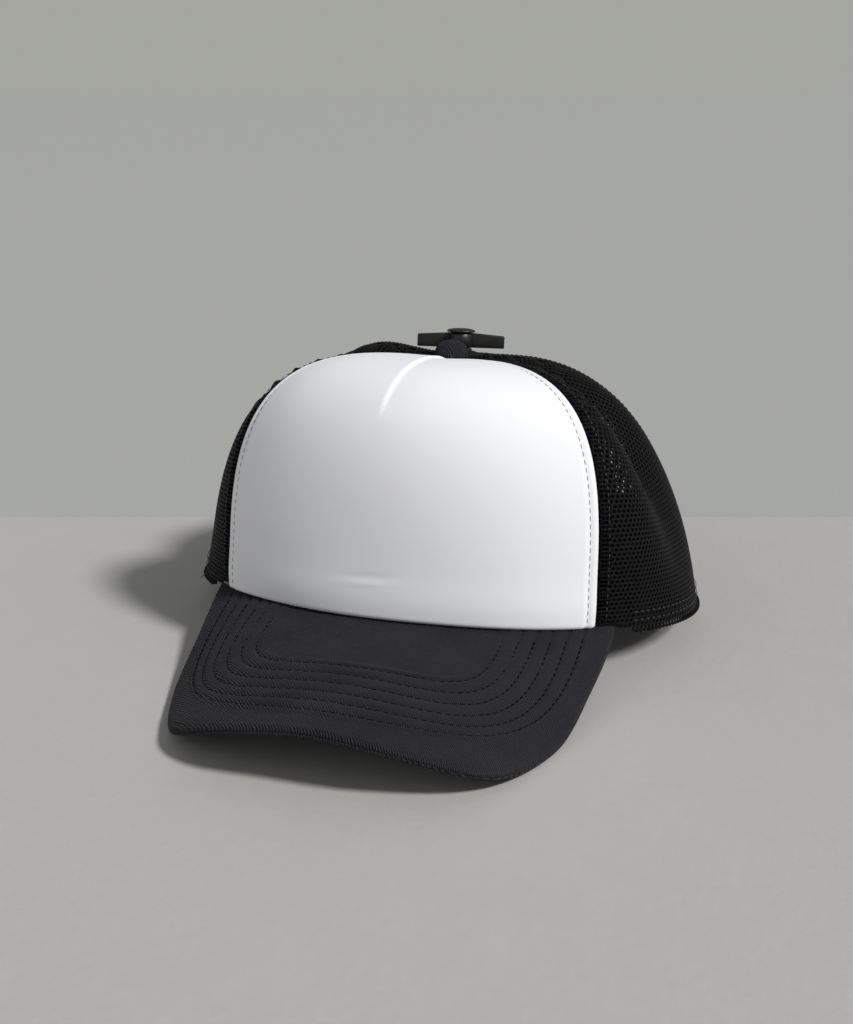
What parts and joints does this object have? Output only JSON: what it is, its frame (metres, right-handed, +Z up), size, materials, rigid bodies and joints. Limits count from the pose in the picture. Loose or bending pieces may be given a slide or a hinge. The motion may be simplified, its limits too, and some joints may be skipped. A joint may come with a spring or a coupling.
{
  "type": "trucker mesh cap",
  "caption": "Trucker cap with a smooth white foam-backed front, black mesh sides and back, a curved charcoal twill visor, a covered top button and a rear snap strap.",
  "frame": {"origin": "centre of the underside of the whole part's bounding box, on the surface the cap rests on", "axes": "-Y towards the visor, +X towards the wearer's left, +Z up; the cap leans back as it rests on its visor corners and back rim"},
  "size_m": [0.2016, 0.2494, 0.1118],
  "materials": {
    "white_face": "smooth knit bonded to foam",
    "white_foam": "open cell foam",
    "black_mesh": "open knitted net",
    "black_tape": "woven tape",
    "black_band": "woven cotton",
    "charcoal_twill": "fine twill",
    "visor_plastic": "plain",
    "black_plastic": "moulded satin",
    "button_metal": "stamped"
  },
  "bodies": {
    "crown": {"front_face_fabric": "white_face", "front_foam_backing": "white_foam", "side_mesh_left": "black_mesh", "side_mesh_right": "black_mesh", "back_mesh_left": "black_mesh", "back_mesh_right": "black_mesh", "front_seam_tape_left": "black_tape", "front_seam_tape_right": "black_tape", "side_seam_tape_left": "black_tape", "side_seam_tape_right": "black_tape", "back_seam_tape": "black_tape", "arch_binding": "black_tape", "sweatband": "black_band", "sweatband_padding": "white_foam", "visor_board": "visor_plastic", "visor_top_cover": "charcoal_twill", "visor_under_cover": "charcoal_twill", "button_cover": "charcoal_twill", "button_shell": "button_metal", "button_rivet": "button_metal", "button_back": "button_metal", "keeper_stud": "black_plastic", "strap_holed_tab": "black_plastic", "strap_pegged_tab": "black_plastic"},
    "strap_holed": {"strap_holed": "black_plastic"},
    "strap_pegged": {"strap_pegged": "black_plastic"},
    "keeper_bar": {"keeper_bar": "black_plastic"}
  },
  "joints": [
    {"name": "holed_strap_peel", "type": "hinge", "parent": "crown", "child": "strap_holed", "pos_m": [0.03968, 0.11524, 0.01158], "axis": [0, -0.1238, -0.9923], "range_deg": [0, 40]},
    {"name": "pegged_strap_fold", "type": "hinge", "parent": "crown", "child": "strap_pegged", "pos_m": [-0.03912, 0.11386, 0.01176], "axis": [0, -0.1238, -0.9923], "range_deg": [0, 60]},
    {"name": "keeper_swivel", "type": "hinge", "parent": "crown", "child": "keeper_bar", "pos_m": [0, 0.05184, 0.10375], "axis": [0, 0.1238, 0.9923], "range_deg": [-60, 30]}
  ]
}
